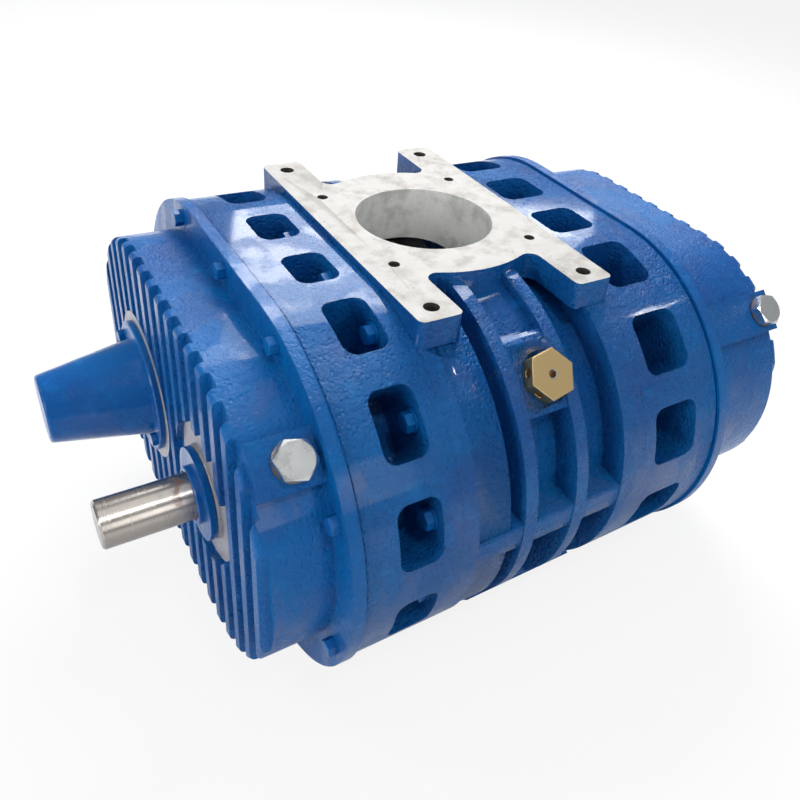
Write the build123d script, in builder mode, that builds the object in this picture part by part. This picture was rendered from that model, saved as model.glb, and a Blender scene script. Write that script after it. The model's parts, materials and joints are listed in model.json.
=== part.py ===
"""Roots vacuum pump with two two-lobe rotors on parallel shafts.

Frame: millimetres, +Z up. The origin is the centre of the outlet flange's lower face.
The shafts lie along X: the driven end of the pump is at -X and the timing gears are at +X.
"""
import math
import os

from build123d import *

os.makedirs("parts", exist_ok=True)

# ---------------------------------------------------------------- driving dimensions
shaft_spacing = 195.0          # between the two shaft axes, along Y
axis_height = 208.5            # shaft axes above the lower flange face, and below the upper one
casing_half = 115.5            # half the casing's length along X
chamber_clearance = 0.4        # rotor tip to the chamber wall
end_clearance = 0.3            # rotor end face to the side plate
flank_clearance = 0.2          # each rotor's profile lies this far inside the true one

rim_radius = 201.0             # side plates and casing flanges, about each shaft axis
floor_radius = 168.0           # bottom of the casing's outside pockets
pad_radius = 199.0
shallow_radius = 188.0
left_band_end = -60.0          # far side of the wide band beside the drive-end flange
flange_width = 18.5            # narrow full-height flange at each end of the casing
gear_band_width = 30.5
ribs_x = ((-43.0, -28.0), (21.0, 36.0))
web_radius = 200.0
web_z = (-10.0, 18.0)          # the level web, above the shaft axes
lower_web_angle = -44.0
lower_web_thick = 16.0

port_radius = 77.0
port_disc_radius = 127.0
plate_thick = 30.0
bar_width = 47.0
bar_length = 382.0
disc_fillet = 12.0
small_hole_span = 169.7        # square of four tapped holes round the port
small_hole_radius = 6.0
small_hole_depth = 24.0
ear_hole_span_x = 184.4
ear_hole_span_y = 339.6
ear_hole_radius = 8.0

drive_plate_end = -216.0
gear_plate_end = 229.0
drive_window_x = (-181.0, -136.0)
gear_window_x = (131.6, 193.0)
window_floor_radius = 131.0
window_first_angle = 16.0
window_angle_pitch = 29.75
window_arc_width = 68.0
window_flat_width = 58.3
window_flat_centre = 48.5
window_corner = 13.0
window_draft = 3.0
rim_chamfer = 2.5

cover_flange_thick = 12.0
cover_flange_radius = 204.0
cover_radius = 170.0
cover_wall = 12.0
end_wall = 10.0
drive_cover_end = -287.0       # outer face of the end wall, under the fins
gear_cover_end = 368.0
gasket_thick = 1.0
fin_pitch = 31.0
fin_width = 12.0
fin_height = 9.0
fin_draft = 8.0                # slope of the grooves' sides, in degrees
corner_round = 6.0            # outer edge of the covers, fins and all
boss_width = 50.0
boss_radius = 182.0            # flat face of the plug bosses, from the shaft axis

plug_af = 34.0
plug_head = 12.0
plug_thread_radius = 13.0
plug_thread_length = 16.0
plug_seal_radius = 18.5
plug_seal_thick = 2.0
plug_drive_x = -252.0
plug_gear_x = 350.0
brass_af = 46.0
brass_height = 17.0
brass_x = 5.0
brass_angle = 46.0
brass_turn = 10.0
brass_seat = 195.0             # spot face, from the shaft axis
brass_spot_radius = 27.5
brass_thread = 22.0
brass_bore = 4.0
brass_side_bore = 4.5

cover_bolt_circle = 187.0
cover_bolt_pitch = 52.0
cover_bolt_first = 78.0
cover_bolts_round = 4           # on each rounded side, and one in the middle of each straight

plate_bolt_circle = 180.0
plate_bolt_radius = 6.0
plate_bolt_af = 18.0
plate_bolt_head = 8.0
washer_radius = 12.0
washer_thick = 2.5
spot_depth = 2.5
plate_bolt_hole = 6.75
plate_bolt_grip = 24.0         # thread in the casing
cover_bolt_radius = 5.0
cover_bolt_af = 16.0
cover_bolt_head = 9.0
cover_bolt_hole = 5.5
cover_bolt_grip = 16.0

dowel_half = 10.0
retainer_screws = 6
retainer_circle = 61.5
retainer_screw_radius = 3.0
retainer_screw_head = 4.0
retainer_screw_af = 10.0
retainer_grip = 12.0
retainer_radius = 68.0
retainer_thick = 5.0

rotor_shaft_radius = 32.0
bearing_inset = 4.0            # bearing face inside the side plate's outer face
bush_outer_radius = 40.0
bush_length = 43.0
bush_gap = 0.3
bush_grooves = 5
race_shoulder = 3.0
ball_gap = 0.1
cage_half = 7.5
cage_wall = 1.5
thread_radius = 28.0
nut_width = 11.0
nut_radius = 42.0
slinger_hub = 14.0
slinger_hub_radius = 36.0
slinger_thick = 3.0
slinger_radius = 118.0
spacer_radius = 39.0
gear_key_width = 16.0
gear_key_height = 10.0
gear_key_depth = 6.0
lobe_steps = 12
bearing_seat_radius = 30.0
extension_radius = 24.0
seal_seat_radius = 25.0
extension_end = -391.5
bearing_outer_radius = 55.0
bearing_width = 22.0
ball_count = 12
ball_radius = 6.0
ball_circle = 42.5

gear_module = 5.0
gear_teeth = 39
gear_width = 38.0
gear_x = 243.0
gear_rim_radius = 80.0
gear_hub_radius = 48.0
gear_web_depth = 10.0
gear_backlash = 0.5            # at the pitch circle, between a tooth and its gap
pressure_angle = 20.0

cone_base_x = -296.0
cone_tip_x = -404.0
cone_base_radius = 56.0
cone_tip_radius = 37.5
cone_wall = 8.0
cone_flange_radius = 76.0
cone_flange_thick = 7.0
cone_bolt_circle = 66.0
cone_bolt_radius = 4.0
cone_bolt_af = 13.0
cone_bolt_head = 6.0
cone_bolt_hole = 4.5
cone_bolt_angle = 33.0
cone_bolt_grip = 14.0
cone_pad_radius = 87.0
shaft_pad_radius = 74.0
shaft_pad_height = 2.0
shaft_boss_radius = 49.0
shaft_boss_height = 7.5         # joint face of the seal housing, above the end wall
joint_groove = 1.0             # between the seal housing and the boss behind it
seal_spigot_radius = 40.0
seal_housing_radius = 48.0
seal_nose_radius = 30.0
seal_nose_x = -306.5
seal_step_x = -301.0
seal_lip = 3.0
seal_lip_bore = 25.5
seal_ring_radius = 33.0
seal_width = 10.0

running_gap = 0.05             # radial, shaft in a plain bush or seal

# worked out from the sizes above
bar_centre = casing_half - bar_width / 2
bar_inner = casing_half - bar_width
total_height = 2 * axis_height
pitch_radius = shaft_spacing / 2
lobe_roll = pitch_radius / 4
rotor_tip = pitch_radius + 2 * lobe_roll
chamber_radius = rotor_tip - flank_clearance + chamber_clearance
axes_y = (-pitch_radius, pitch_radius)
drive_y = -pitch_radius
driven_y = pitch_radius
seal_face_x = drive_cover_end - shaft_boss_height


def across(x):
    """Plane across the shafts at X, its own X along the pump's Y and its Y up."""
    return Plane(origin=(x, 0, axis_height), x_dir=(0, 1, 0), z_dir=(1, 0, 0))


def outward(x, y_axis, angle, radius):
    """Plane facing away from the shaft axis at y_axis. Angle 0 faces -Y, 90 faces up."""
    turn = math.radians(angle)
    side = -math.cos(turn) if y_axis < 0 else math.cos(turn)
    normal = (0, side, math.sin(turn))
    origin = (x, y_axis + radius * normal[1], axis_height + radius * normal[2])
    return Plane(origin=origin, x_dir=(1, 0, 0), z_dir=normal)


def slab(x_start, x_end, radius, mode=Mode.ADD):
    """Obround slab about both shafts, inside the part being built."""
    with BuildSketch(across(x_start)) as outline:
        SlotCenterToCenter(shaft_spacing, 2 * radius)
    extrude(outline.sketch, amount=x_end - x_start, mode=mode)


def rounds(x_start, x_end, radius, ys=axes_y, mode=Mode.ADD):
    """Plain cylinders along X on the shaft axes given."""
    with BuildSketch(across(x_start)) as circles:
        with Locations(*[(y, 0) for y in ys]):
            Circle(radius)
    extrude(circles.sketch, amount=x_end - x_start, mode=mode)


def save(part, name):
    part.label = name
    export_step(part, f"parts/{name}.step")


def arc_angles():
    """Window angles on one rounded side of a side plate."""
    above = [window_first_angle + i * window_angle_pitch for i in range(3)]
    return above + [-a for a in above]


def window_planes(x, radius):
    """One outward plane for each window, with its width across the plane's Y."""
    planes = []
    for y_axis in axes_y:
        planes += [(outward(x, y_axis, a, radius), window_arc_width) for a in arc_angles()]
    for y in (-window_flat_centre, window_flat_centre):
        for side in (1, -1):
            origin = (x, y, axis_height + side * radius)
            planes.append((Plane(origin=origin, x_dir=(1, 0, 0), z_dir=(0, 0, side)), window_flat_width))
    return planes


def cover_bolt_spots():
    """Places of the cover bolts on a plane across the shafts."""
    spots = []
    for y_axis in axes_y:
        side = -1 if y_axis < 0 else 1
        for i in range(cover_bolts_round):
            turn = math.radians(-side * (cover_bolt_first - i * cover_bolt_pitch))
            spots.append((y_axis + side * cover_bolt_circle * math.cos(turn),
                          cover_bolt_circle * math.sin(turn)))
    return spots + [(0, cover_bolt_circle), (0, -cover_bolt_circle)]


def plate_bolt_spots():
    """Places of the side plate bolts, one in the middle of each window."""
    spots = []
    for y_axis in axes_y:
        side = -1 if y_axis < 0 else 1
        for angle in arc_angles():
            turn = math.radians(angle)
            spots.append((y_axis + side * plate_bolt_circle * math.cos(turn),
                          plate_bolt_circle * math.sin(turn)))
    for y in (-window_flat_centre, window_flat_centre):
        spots += [(y, plate_bolt_circle), (y, -plate_bolt_circle)]
    return spots


def dowel_spots():
    reach = pitch_radius + plate_bolt_circle
    return [(-reach, 0), (reach, 0)]


# ---------------------------------------------------------------- casing
with BuildPart() as casing:
    slab(-casing_half, casing_half, floor_radius)
    slab(-casing_half, -casing_half + flange_width, rim_radius)
    slab(-casing_half + flange_width, left_band_end, pad_radius)
    slab(casing_half - gear_band_width, casing_half, rim_radius)
    for start, end in ribs_x:
        slab(start, end, rim_radius)
    # level webs on both sides, and the sloping ones low down
    with BuildSketch(across(-casing_half)):
        SlotCenterToCenter(shaft_spacing, 2 * web_radius)
        with Locations((0, sum(web_z) / 2)):
            Rectangle(shaft_spacing + 2 * web_radius, web_z[1] - web_z[0], mode=Mode.INTERSECT)
    extrude(amount=2 * casing_half)
    for y_axis in axes_y:
        side = 180 + lower_web_angle * -1 if y_axis < 0 else lower_web_angle
        with BuildSketch(across(left_band_end)):
            with Locations(Location((y_axis, 0), side)):
                with Locations((rim_radius / 2 + 1, 0)):
                    Rectangle(rim_radius + 4, lower_web_thick)
        extrude(amount=casing_half - gear_band_width - left_band_end)
    # pad for the relief fitting and the shallow panel above it, between the two ribs
    for y_axis in axes_y:
        side = 1 if y_axis < 0 else -1
        for low, high, radius in ((36, 60, pad_radius), (59, 92, shallow_radius)):
            with BuildSketch(across(ribs_x[0][1] - 1)):
                with Locations((y_axis, 0)):
                    Circle(radius)
                points = [(0, 0)] + [(-side * 300 * math.cos(math.radians(a)), 300 * math.sin(math.radians(a)))
                                     for a in (low, (low + high) / 2, high)]
                with Locations((y_axis, 0)):
                    Polygon(*points, align=None, mode=Mode.INTERSECT)
            extrude(amount=ribs_x[1][0] - ribs_x[0][1] + 2)
    # inlet and outlet flanges: a disc with two bars across it
    for z, up in ((total_height, -1), (0, 1)):
        with BuildSketch(Plane.XY.offset(z)) as flange_outline:
            with Locations((-bar_centre, 0), (bar_centre, 0)):
                RectangleRounded(bar_width, bar_length, 7)
            Circle(port_disc_radius)
            Rectangle(2 * casing_half, bar_length, mode=Mode.INTERSECT)
            inner_corners = [v for v in flange_outline.vertices() if abs(abs(v.X) - bar_inner) < 0.1
                             and abs(v.Y) < port_disc_radius]
            fillet(inner_corners, radius=disc_fillet)
        extrude(amount=up * plate_thick)
        with BuildSketch(Plane.XY.offset(z)):
            Circle(port_disc_radius - 14)
            Rectangle(2 * casing_half, bar_length, mode=Mode.INTERSECT)
        extrude(amount=up * (plate_thick + 20))
    # rotor chamber and the two ports
    rounds(-casing_half, casing_half, chamber_radius, mode=Mode.SUBTRACT)
    with BuildSketch(Plane.XY):
        Circle(port_radius)
    extrude(amount=total_height, mode=Mode.SUBTRACT)
    # tapped holes of both flanges
    for z, up in ((total_height, -1), (0, 1)):
        with BuildSketch(Plane.XY.offset(z)):
            with GridLocations(small_hole_span, small_hole_span, 2, 2):
                Circle(small_hole_radius)
        extrude(amount=up * small_hole_depth, mode=Mode.SUBTRACT)
        with BuildSketch(Plane.XY.offset(z)):
            with GridLocations(ear_hole_span_x, ear_hole_span_y, 2, 2):
                Circle(ear_hole_radius)
        extrude(amount=up * (plate_thick + 8), mode=Mode.SUBTRACT)
    # tapped holes for the side plate bolts
    for x, along in ((-casing_half, 1), (casing_half, -1)):
        with BuildSketch(across(x)):
            with Locations(*plate_bolt_spots()):
                Circle(plate_bolt_radius)
        extrude(amount=along * (plate_bolt_grip + 2), mode=Mode.SUBTRACT)
        with BuildSketch(across(x)):
            with Locations(*dowel_spots()):
                Circle(plate_bolt_radius)
        extrude(amount=along * dowel_half, mode=Mode.SUBTRACT)
    # spot face and tapped hole of the relief fitting
    seat = outward(brass_x, drive_y, brass_angle, brass_seat)
    with BuildSketch(seat):
        Circle(brass_spot_radius)
    extrude(amount=20, mode=Mode.SUBTRACT)
    with BuildSketch(seat):
        Circle(plug_thread_radius)
    extrude(amount=-brass_thread - 4, mode=Mode.SUBTRACT)
save(casing.part, "casing")

# ---------------------------------------------------------------- side plates
def window_pockets(x_range):
    """Sixteen drafted pockets through the rim, opening outwards."""
    middle = (x_range[0] + x_range[1]) / 2
    depth = rim_radius - window_floor_radius
    for plane, width in window_planes(middle, rim_radius):
        with BuildSketch(plane) as mouth:
            RectangleRounded(x_range[1] - x_range[0], width, window_corner)
        extrude(mouth.sketch, amount=-depth, taper=window_draft, mode=Mode.SUBTRACT)
        extrude(mouth.sketch, amount=10, mode=Mode.SUBTRACT)


def bearing_seats(end, along):
    """Bearing and bush bores of a side plate whose outer face is at X = end; along points inwards."""
    start = end + along * bearing_inset
    rounds(end, start + along * bearing_width, bearing_outer_radius, mode=Mode.SUBTRACT)
    inner = along * casing_half * -1
    rounds(end, inner, bush_outer_radius, mode=Mode.SUBTRACT)


def holes(x, amount, radius, spots):
    """Round holes along X at the spots given, cut from the part being built."""
    with BuildSketch(across(x)) as circles:
        with Locations(*spots):
            Circle(radius)
    extrude(circles.sketch, amount=amount, mode=Mode.SUBTRACT)


def retainer_spots():
    """Places of the bearing retainer screws, six round each shaft."""
    spots = []
    for y_axis in axes_y:
        for i in range(retainer_screws):
            turn = 2 * math.pi * (i + 0.5) / retainer_screws
            spots.append((y_axis + retainer_circle * math.cos(turn), retainer_circle * math.sin(turn)))
    return spots


with BuildPart() as drive_side_plate:
    slab(drive_plate_end, -casing_half, rim_radius)
    rim = drive_side_plate.faces().sort_by(Axis.X)[0].outer_wire().edges()
    chamfer(rim, length=rim_chamfer)
    window_pockets(drive_window_x)
    bearing_seats(drive_plate_end, 1)
    wall = -casing_half - drive_window_x[1]
    holes(drive_window_x[1], wall, plate_bolt_hole, plate_bolt_spots())
    holes(drive_window_x[1], -spot_depth, washer_radius + 1, plate_bolt_spots())
    holes(drive_plate_end, cover_bolt_grip, cover_bolt_radius, cover_bolt_spots())
    holes(drive_plate_end, retainer_grip, retainer_screw_radius, retainer_spots())
    holes(-casing_half, -dowel_half, plate_bolt_radius, dowel_spots())
save(drive_side_plate.part, "drive_side_plate")

with BuildPart() as gear_side_plate:
    slab(casing_half, gear_plate_end, rim_radius)
    rim = gear_side_plate.faces().sort_by(Axis.X)[-1].outer_wire().edges()
    chamfer(rim, length=rim_chamfer)
    window_pockets(gear_window_x)
    bearing_seats(gear_plate_end, -1)
    wall = gear_window_x[0] - casing_half
    holes(casing_half, wall, plate_bolt_hole, plate_bolt_spots())
    holes(gear_window_x[0], spot_depth, washer_radius + 1, plate_bolt_spots())
    holes(gear_plate_end, -cover_bolt_grip, cover_bolt_radius, cover_bolt_spots())
    holes(gear_plate_end, -retainer_grip, retainer_screw_radius, retainer_spots())
    holes(casing_half, dowel_half, plate_bolt_radius, dowel_spots())
save(gear_side_plate.part, "gear_side_plate")


# ---------------------------------------------------------------- end covers
def fin_grooves(x, amount):
    """Upright grooves cut into a cover's end face, which leave the cooling fins between them."""
    count = 2 * int((pitch_radius + cover_radius) / fin_pitch) + 2
    with BuildSketch(across(x)) as gaps:
        with GridLocations(fin_pitch, 1, count, 1):
            Rectangle(fin_pitch - fin_width, 2 * cover_radius + fin_pitch)
    extrude(gaps.sketch, amount=amount, taper=fin_draft, mode=Mode.SUBTRACT)


def plug_boss(x_start, x_end, y_axis, angle):
    """Raised pad along the cover's side that carries an oil plug."""
    middle = (x_start + x_end) / 2
    with BuildSketch(outward(middle, y_axis, angle, boss_radius)) as pad:
        Rectangle(abs(x_end - x_start), boss_width)
    extrude(pad.sketch, amount=cover_radius - cover_wall + 2 - boss_radius)


def plug_places(x):
    """Oil plug planes: filler at the front shoulder and drain at the opposite lower corner."""
    return [outward(x, drive_y, 45, boss_radius), outward(x, driven_y, -45, boss_radius)]


def cone_bolt_spots():
    """The cone cap's two bolts, either side of the driven shaft."""
    turn = math.radians(cone_bolt_angle)
    step = (cone_bolt_circle * math.cos(turn), cone_bolt_circle * math.sin(turn))
    return [(driven_y + step[0], step[1]), (driven_y - step[0], -step[1])]


with BuildPart() as drive_cover:
    joint_x = drive_plate_end - gasket_thick
    slab(drive_cover_end - fin_height, joint_x, cover_radius)
    fillet(drive_cover.faces().sort_by(Axis.X)[0].edges(), radius=corner_round)
    fin_grooves(drive_cover_end - fin_height, fin_height)
    slab(joint_x - cover_flange_thick, joint_x, cover_flange_radius)
    for y_axis, angle in ((drive_y, 45), (driven_y, -45)):
        plug_boss(drive_cover_end, joint_x - cover_flange_thick, y_axis, angle)
    rounds(drive_cover_end - fin_height, drive_cover_end, shaft_pad_radius, (drive_y,), Mode.SUBTRACT)
    rounds(drive_cover_end, drive_cover_end - shaft_pad_height, shaft_pad_radius, (drive_y,))
    rounds(drive_cover_end, seal_face_x + joint_groove, shaft_boss_radius, (drive_y,))
    rounds(drive_cover_end, seal_face_x, seal_housing_radius - joint_groove, (drive_y,))
    rounds(drive_cover_end, cone_base_x, cone_pad_radius, (driven_y,))
    slab(drive_cover_end + end_wall, joint_x, cover_radius - cover_wall, mode=Mode.SUBTRACT)
    rounds(cone_base_x - fin_height, drive_cover_end + end_wall, seal_spigot_radius, mode=Mode.SUBTRACT)
    for plane in plug_places(plug_drive_x):
        with BuildSketch(plane):
            Circle(plug_thread_radius)
        extrude(amount=cover_radius - cover_wall - boss_radius - 4, mode=Mode.SUBTRACT)
    holes(joint_x, -cover_flange_thick, cover_bolt_hole, cover_bolt_spots())
    holes(cone_base_x, cone_bolt_grip, cone_bolt_radius, cone_bolt_spots())
save(drive_cover.part, "drive_cover")

with BuildPart() as gear_cover:
    joint_x = gear_plate_end + gasket_thick
    slab(joint_x, gear_cover_end + fin_height, cover_radius)
    fillet(gear_cover.faces().sort_by(Axis.X)[-1].edges(), radius=corner_round)
    fin_grooves(gear_cover_end + fin_height, -fin_height)
    slab(joint_x, joint_x + cover_flange_thick, cover_flange_radius)
    for y_axis, angle in ((drive_y, 45), (driven_y, -45)):
        plug_boss(joint_x + cover_flange_thick, gear_cover_end, y_axis, angle)
    slab(joint_x, gear_cover_end - end_wall, cover_radius - cover_wall, mode=Mode.SUBTRACT)
    for plane in plug_places(plug_gear_x):
        with BuildSketch(plane):
            Circle(plug_thread_radius)
        extrude(amount=cover_radius - cover_wall - boss_radius - 4, mode=Mode.SUBTRACT)
    holes(joint_x, cover_flange_thick, cover_bolt_hole, cover_bolt_spots())
save(gear_cover.part, "gear_cover")


def gasket(x, thick):
    """Flat obround joint ring under a cover's flange."""
    slab(x, x + thick, cover_flange_radius)
    slab(x, x + thick, cover_radius - cover_wall, mode=Mode.SUBTRACT)
    holes(x, thick, cover_bolt_hole, cover_bolt_spots())


with BuildPart() as drive_cover_gasket:
    gasket(drive_plate_end - gasket_thick, gasket_thick)
save(drive_cover_gasket.part, "drive_cover_gasket")

with BuildPart() as gear_cover_gasket:
    gasket(gear_plate_end, gasket_thick)
save(gear_cover_gasket.part, "gear_cover_gasket")

# ---------------------------------------------------------------- shaft seal and cone cap
with BuildPart() as seal_housing:
    rounds(seal_face_x, seal_step_x, seal_housing_radius, (drive_y,))
    rounds(seal_step_x, seal_nose_x, seal_nose_radius, (drive_y,))
    rounds(seal_face_x, drive_cover_end + end_wall, seal_spigot_radius, (drive_y,))
    chamfer(seal_housing.faces().sort_by(Axis.X)[0].outer_wire().edges(), length=1)
    rounds(seal_nose_x, drive_cover_end + end_wall, seal_lip_bore, (drive_y,), Mode.SUBTRACT)
    rounds(seal_step_x + seal_lip, drive_cover_end + end_wall, seal_ring_radius, (drive_y,), Mode.SUBTRACT)
save(seal_housing.part, "seal_housing")

with BuildPart() as shaft_seal:
    rounds(seal_step_x + seal_lip, seal_step_x + seal_lip + seal_width, seal_ring_radius, (drive_y,))
    rounds(seal_nose_x, 0, seal_seat_radius + running_gap, (drive_y,), Mode.SUBTRACT)
save(shaft_seal.part, "shaft_seal")

with BuildPart() as cone_cap:
    rounds(cone_base_x - cone_flange_thick, cone_base_x, cone_flange_radius, (driven_y,))
    chamfer(cone_cap.faces().sort_by(Axis.X)[0].edges(), length=1.5)
    with BuildSketch(across(cone_base_x - cone_flange_thick)):
        with Locations((driven_y, 0)):
            Circle(cone_base_radius)
    with BuildSketch(across(cone_tip_x)):
        with Locations((driven_y, 0)):
            Circle(cone_tip_radius)
    loft()
    fillet(cone_cap.faces().sort_by(Axis.X)[0].edges(), radius=4)
    with BuildSketch(across(cone_base_x)):
        with Locations((driven_y, 0)):
            Circle(cone_base_radius - cone_wall)
    with BuildSketch(across(cone_tip_x + cone_wall)):
        with Locations((driven_y, 0)):
            Circle(cone_tip_radius - cone_wall)
    loft(mode=Mode.SUBTRACT)
    holes(cone_base_x, -cone_flange_thick, cone_bolt_hole, cone_bolt_spots())
save(cone_cap.part, "cone_cap")


# ---------------------------------------------------------------- rotors
def lobe_points():
    """Points round one two-lobe profile, lobe tip up.

    A circle rolling outside the pitch circle draws the lobes and one rolling inside it draws the
    waists. At each point the normal runs to the rolling contact, so the running clearance is
    taken along it.
    """
    points = []
    for quarter in range(4):
        outside = quarter % 2 == 0
        for i in range(lobe_steps):
            share = (1 - math.cos(math.pi * (i + 0.5) / lobe_steps)) / 2
            turn = share * math.pi / 2
            contact = (pitch_radius * math.cos(turn), pitch_radius * math.sin(turn))
            sign = 1 if outside else -1
            reach = pitch_radius + sign * lobe_roll
            spin = reach / lobe_roll * turn
            x = reach * math.cos(turn) - sign * lobe_roll * math.cos(spin)
            y = reach * math.sin(turn) - lobe_roll * math.sin(spin)
            gap = math.hypot(x - contact[0], y - contact[1])
            x -= sign * flank_clearance * (x - contact[0]) / gap
            y -= sign * flank_clearance * (y - contact[1]) / gap
            angle = math.radians(45 + 90 * quarter)
            points.append((x * math.cos(angle) - y * math.sin(angle),
                           x * math.sin(angle) + y * math.cos(angle)))
    return points


def rotor_outline(y_axis, turn):
    """Rotor profile on one axis, turned by the angle given."""
    with BuildSketch(across(-casing_half + end_clearance)) as outline:
        with BuildLine(Location((y_axis, 0), turn)):
            Spline(*lobe_points(), periodic=True)
        make_face()
        with Locations((y_axis, 0)):
            Circle(rotor_shaft_radius, mode=Mode.SUBTRACT)
    return outline.sketch


rotor_length = 2 * (casing_half - end_clearance)
with BuildPart() as drive_rotor:
    extrude(rotor_outline(drive_y, 0), amount=rotor_length)
save(drive_rotor.part, "drive_rotor")

with BuildPart() as driven_rotor:
    extrude(rotor_outline(driven_y, 90), amount=rotor_length)
save(driven_rotor.part, "driven_rotor")


# ---------------------------------------------------------------- shafts
def key_slot(x_start, x_end, y_axis, angle, low, high, width, mode):
    """Parallel key, or its slot, from radius low to radius high, facing the angle given."""
    with BuildSketch(across(x_start)) as end:
        with Locations(Location((y_axis, 0), angle)):
            with Locations(((low + high) / 2, 0)):
                Rectangle(high - low, width)
    extrude(end.sketch, amount=x_end - x_start, mode=mode)


bearing_starts = (drive_plate_end + bearing_inset,
                  gear_plate_end - bearing_inset - bearing_width)
gear_start = gear_x
gear_end = gear_x + gear_width
nut_x = bearing_starts[0] - nut_width


def shaft(y_axis):
    """One stepped shaft: drive extension, bearing seats, rotor seat, gear seat and thread."""
    rounds(extension_end, seal_nose_x + 1, extension_radius, (y_axis,))
    rounds(seal_nose_x + 1, nut_x - slinger_hub, seal_seat_radius, (y_axis,))
    rounds(nut_x - slinger_hub, bearing_starts[0], thread_radius, (y_axis,))
    rounds(bearing_starts[0], bearing_starts[0] + bearing_width, bearing_seat_radius, (y_axis,))
    rounds(bearing_starts[0] + bearing_width, bearing_starts[1], rotor_shaft_radius, (y_axis,))
    rounds(bearing_starts[1], gear_end, bearing_seat_radius, (y_axis,))
    rounds(gear_end, gear_end + nut_width + 4, thread_radius, (y_axis,))
    key_slot(gear_start + 4, gear_end - 4, y_axis, 90, bearing_seat_radius - gear_key_depth,
             bearing_seat_radius + 1, gear_key_width, Mode.SUBTRACT)


with BuildPart() as drive_shaft:
    shaft(drive_y)
    chamfer(drive_shaft.faces().sort_by(Axis.X)[0].edges(), length=2)
save(drive_shaft.part, "drive_shaft")

with BuildPart() as driven_shaft:
    shaft(driven_y)
    chamfer(driven_shaft.faces().sort_by(Axis.X)[0].edges(), length=2)
save(driven_shaft.part, "driven_shaft")


# ---------------------------------------------------------------- timing gears
def tooth_half_angle(radius):
    """Half the tooth's angle at a radius on its involute flank."""
    base = pitch_radius * math.cos(math.radians(pressure_angle))
    at_pitch = math.tan(math.radians(pressure_angle)) - math.radians(pressure_angle)
    here = math.acos(base / radius)
    thick = math.pi * gear_module / 2 - gear_backlash / 2
    return thick / (2 * pitch_radius) + at_pitch - (math.tan(here) - here)


def polar(radius, angle):
    return (radius * math.cos(angle), radius * math.sin(angle))


def gear_outline(y_axis):
    """Involute spur gear with one tooth facing +Y, and its bore."""
    tip = pitch_radius + gear_module
    root = pitch_radius - 1.25 * gear_module
    base = pitch_radius * math.cos(math.radians(pressure_angle)) + 0.05
    radii = [base + (tip - base) * i / 4 for i in range(5)]
    step = 2 * math.pi / gear_teeth
    with BuildSketch(across(gear_start)) as outline:
        with BuildLine(Location((y_axis, 0))):
            for i in range(gear_teeth):
                middle = i * step
                rising = [polar(r, middle - tooth_half_angle(r)) for r in radii]
                falling = [polar(r, middle + tooth_half_angle(r)) for r in reversed(radii)]
                foot = tooth_half_angle(base)
                Line(polar(root, middle - foot), rising[0])
                Spline(*rising)
                ThreePointArc(rising[-1], polar(tip, middle), falling[0])
                Spline(*falling)
                Line(falling[-1], polar(root, middle + foot))
                ThreePointArc(polar(root, middle + foot), polar(root, middle + step / 2),
                              polar(root, middle + step - foot))
        make_face()
        with Locations((y_axis, 0)):
            Circle(bearing_seat_radius, mode=Mode.SUBTRACT)
    return outline.sketch


def timing_gear(y_axis):
    """Timing gear with a thinner web between hub and rim, keyed to its shaft."""
    extrude(gear_outline(y_axis), amount=gear_width)
    for x, along in ((gear_start, 1), (gear_end, -1)):
        with BuildSketch(across(x)) as web:
            with Locations((y_axis, 0)):
                Circle(gear_rim_radius)
                Circle(gear_hub_radius, mode=Mode.SUBTRACT)
        extrude(web.sketch, amount=along * gear_web_depth, mode=Mode.SUBTRACT)
    key_slot(gear_start - 1, gear_end + 1, y_axis, 90, bearing_seat_radius - 3,
             bearing_seat_radius - gear_key_depth + gear_key_height, gear_key_width, Mode.SUBTRACT)


with BuildPart() as drive_timing_gear:
    timing_gear(drive_y)
save(drive_timing_gear.part, "drive_timing_gear")

with BuildPart() as driven_timing_gear:
    timing_gear(driven_y)
save(driven_timing_gear.part, "driven_timing_gear")

for y_axis, name in ((drive_y, "drive"), (driven_y, "driven")):
    with BuildPart() as gear_key:
        key_slot(gear_start + 4, gear_end - 4, y_axis, 90, bearing_seat_radius - gear_key_depth,
                 bearing_seat_radius - gear_key_depth + gear_key_height, gear_key_width, Mode.ADD)
    save(gear_key.part, f"{name}_gear_key")

    with BuildPart() as spacer:
        rounds(gear_plate_end - bearing_inset, gear_start, spacer_radius, (y_axis,))
        rounds(gear_plate_end - bearing_inset, gear_start, bearing_seat_radius, (y_axis,), Mode.SUBTRACT)
    save(spacer.part, f"{name}_gear_spacer")

    with BuildPart() as nuts:
        for x in (nut_x, gear_end):
            rounds(x, x + nut_width, nut_radius, (y_axis,))
        rounds(nut_x, nut_x + nut_width, thread_radius, (y_axis,), Mode.SUBTRACT)
        rounds(gear_end, gear_end + nut_width, thread_radius, (y_axis,), Mode.SUBTRACT)
        for x in (nut_x, gear_end):
            for i in range(4):
                key_slot(x, x + nut_width, y_axis, 45 + 90 * i, nut_radius - 3, nut_radius + 1, 7,
                         Mode.SUBTRACT)
    save(nuts.part, f"{name}_shaft_nuts")

    with BuildPart() as inner_rings:
        for x in bearing_starts:
            rounds(x, x + bearing_width, ball_circle - race_shoulder, (y_axis,))
            rounds(x, x + bearing_width, bearing_seat_radius, (y_axis,), Mode.SUBTRACT)
            with Locations(Plane(origin=(x + bearing_width / 2, y_axis, axis_height), z_dir=(1, 0, 0))):
                Torus(ball_circle, ball_radius + ball_gap, mode=Mode.SUBTRACT)
    save(inner_rings.part, f"{name}_bearing_inner_rings")

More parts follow.
